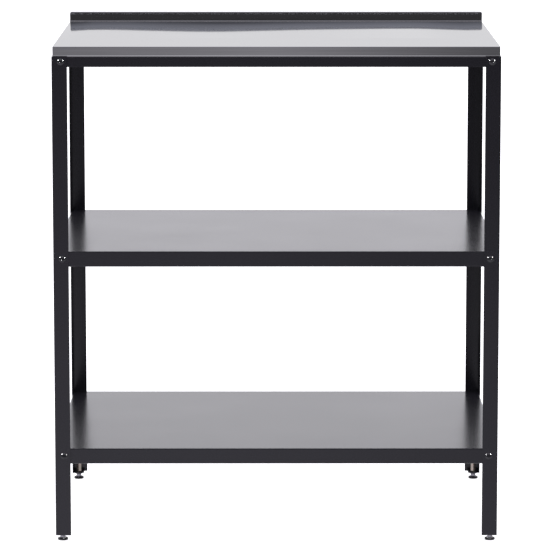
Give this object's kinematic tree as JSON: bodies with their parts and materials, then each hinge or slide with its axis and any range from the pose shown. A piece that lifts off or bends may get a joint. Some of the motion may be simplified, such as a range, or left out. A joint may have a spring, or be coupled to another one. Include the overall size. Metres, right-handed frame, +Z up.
{
  "type": "outdoor kitchen worktop rack",
  "caption": "Free-standing outdoor kitchen rack: black folded-steel legs and tray shelves bolted together, a stainless worktop with a low rear upstand, and screw levelling feet.",
  "frame": {"origin": "on the floor under the middle of the rack", "axes": "+Z up, -Y towards the person at the worktop, +X to that person's right"},
  "size_m": [0.86, 0.6164, 0.987],
  "materials": {
    "black_powder_coat": "satin black powder coat with a fine orange peel",
    "brushed_stainless": "brushed stainless sheet, gently wavy",
    "zinc_plate": "zinc plate with a faint yellow passivation",
    "black_bolts": "glossy black bolts",
    "foot_pad_plastic": "black moulded plastic",
    "galvanised_sheet": "galvanised sheet with a fine spangle"
  },
  "bodies": {
    "frame": {"leg_front_left": "black_powder_coat", "foot_tab_front_left": "black_powder_coat", "foot_nut_front_left": "zinc_plate", "leg_front_right": "black_powder_coat", "foot_tab_front_right": "black_powder_coat", "foot_nut_front_right": "zinc_plate", "leg_rear_left": "black_powder_coat", "foot_tab_rear_left": "black_powder_coat", "foot_nut_rear_left": "zinc_plate", "leg_rear_right": "black_powder_coat", "foot_tab_rear_right": "black_powder_coat", "foot_nut_rear_right": "zinc_plate", "middle_shelf": "black_powder_coat", "middle_shelf_rib": "black_powder_coat", "bottom_shelf": "black_powder_coat", "bottom_shelf_rib": "black_powder_coat", "top_rail_front": "black_powder_coat", "top_rail_rear": "black_powder_coat", "top_rail_left": "black_powder_coat", "top_rail_right": "black_powder_coat", "worktop": "brushed_stainless", "worktop_channel_left": "galvanised_sheet", "worktop_channel_right": "galvanised_sheet", "top_frame_bolts": "black_bolts", "top_frame_nuts": "zinc_plate", "middle_shelf_bolts": "black_bolts", "middle_shelf_nuts": "zinc_plate", "bottom_shelf_bolts": "black_bolts", "bottom_shelf_nuts": "zinc_plate", "worktop_screws": "zinc_plate", "worktop_nuts": "zinc_plate"},
    "foot_pad_front_left": {"foot_pad_front_left": "foot_pad_plastic"},
    "foot_stud_front_left": {"foot_stud_front_left": "zinc_plate"},
    "foot_pad_front_right": {"foot_pad_front_right": "foot_pad_plastic"},
    "foot_stud_front_right": {"foot_stud_front_right": "zinc_plate"},
    "foot_pad_rear_left": {"foot_pad_rear_left": "foot_pad_plastic"},
    "foot_stud_rear_left": {"foot_stud_rear_left": "zinc_plate"},
    "foot_pad_rear_right": {"foot_pad_rear_right": "foot_pad_plastic"},
    "foot_stud_rear_right": {"foot_stud_rear_right": "zinc_plate"}
  },
  "joints": [
    {"name": "foot_slide_front_left", "type": "slide", "parent": "frame", "child": "foot_pad_front_left", "axis": [0, 0, 1], "range_m": [-0.014, 0.001]},
    {"name": "foot_turn_front_left", "type": "hinge", "parent": "foot_pad_front_left", "child": "foot_stud_front_left", "pos_m": [-0.417, -0.287, 0.0085], "axis": [0, 0, 1], "range_deg": [-5048, 367]},
    {"name": "foot_slide_front_right", "type": "slide", "parent": "frame", "child": "foot_pad_front_right", "axis": [0, 0, 1], "range_m": [-0.014, 0.001]},
    {"name": "foot_turn_front_right", "type": "hinge", "parent": "foot_pad_front_right", "child": "foot_stud_front_right", "pos_m": [0.417, -0.287, 0.0085], "axis": [0, 0, 1], "range_deg": [-5048, 367]},
    {"name": "foot_slide_rear_left", "type": "slide", "parent": "frame", "child": "foot_pad_rear_left", "axis": [0, 0, 1], "range_m": [-0.014, 0.001]},
    {"name": "foot_turn_rear_left", "type": "hinge", "parent": "foot_pad_rear_left", "child": "foot_stud_rear_left", "pos_m": [-0.417, 0.287, 0.0085], "axis": [0, 0, 1], "range_deg": [-5048, 367]},
    {"name": "foot_slide_rear_right", "type": "slide", "parent": "frame", "child": "foot_pad_rear_right", "axis": [0, 0, 1], "range_m": [-0.014, 0.001]},
    {"name": "foot_turn_rear_right", "type": "hinge", "parent": "foot_pad_rear_right", "child": "foot_stud_rear_right", "pos_m": [0.417, 0.287, 0.0085], "axis": [0, 0, 1], "range_deg": [-5048, 367]}
  ],
  "couplings": [
    {"joint": "foot_turn_front_left", "follows": "foot_slide_front_left", "rad_per_m": 6283.2},
    {"joint": "foot_turn_front_right", "follows": "foot_slide_front_right", "rad_per_m": 6283.2},
    {"joint": "foot_turn_rear_left", "follows": "foot_slide_rear_left", "rad_per_m": 6283.2},
    {"joint": "foot_turn_rear_right", "follows": "foot_slide_rear_right", "rad_per_m": 6283.2}
  ]
}
